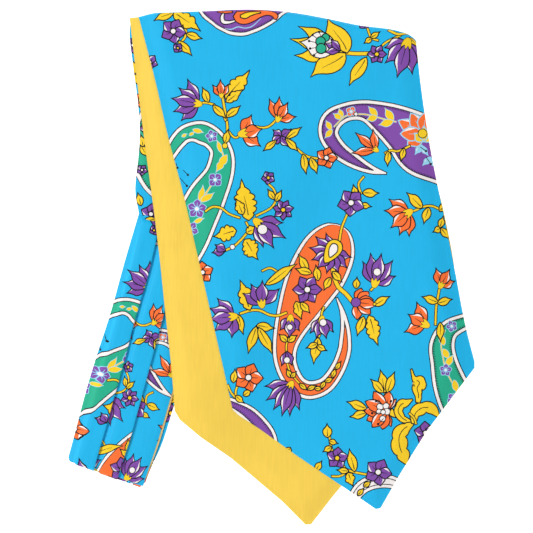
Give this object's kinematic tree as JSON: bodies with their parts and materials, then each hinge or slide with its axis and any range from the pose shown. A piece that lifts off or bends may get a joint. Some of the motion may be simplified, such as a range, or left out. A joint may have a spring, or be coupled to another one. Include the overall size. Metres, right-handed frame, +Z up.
{
  "type": "silk cravat",
  "caption": "Silk cravat with pointed, lined blades and a pleated neckband, folded in half and laid flat with its blades turned down.",
  "frame": {"origin": "centre of the bounding box on the surface that the cravat lies on", "axes": "+X to the right of the laid-out cravat, +Y towards its top fold, +Z up from the surface"},
  "size_m": [0.2632, 0.3332, 0.0104],
  "materials": {
    "printed_silk": "printed silk twill, soft sheen",
    "lining_silk": "plain silk lining with a fine slub",
    "neckband_lining_silk": "plain pale lining"
  },
  "bodies": {
    "root": {"front_blade": "printed_silk", "front_blade_lining": "lining_silk", "rear_blade": "printed_silk", "rear_blade_lining": "lining_silk", "rear_blade_neck": "printed_silk", "neckband": "printed_silk", "neckband_lining": "neckband_lining_silk", "neckband_under": "printed_silk", "under_layers": "printed_silk"}
  },
  "joints": []
}
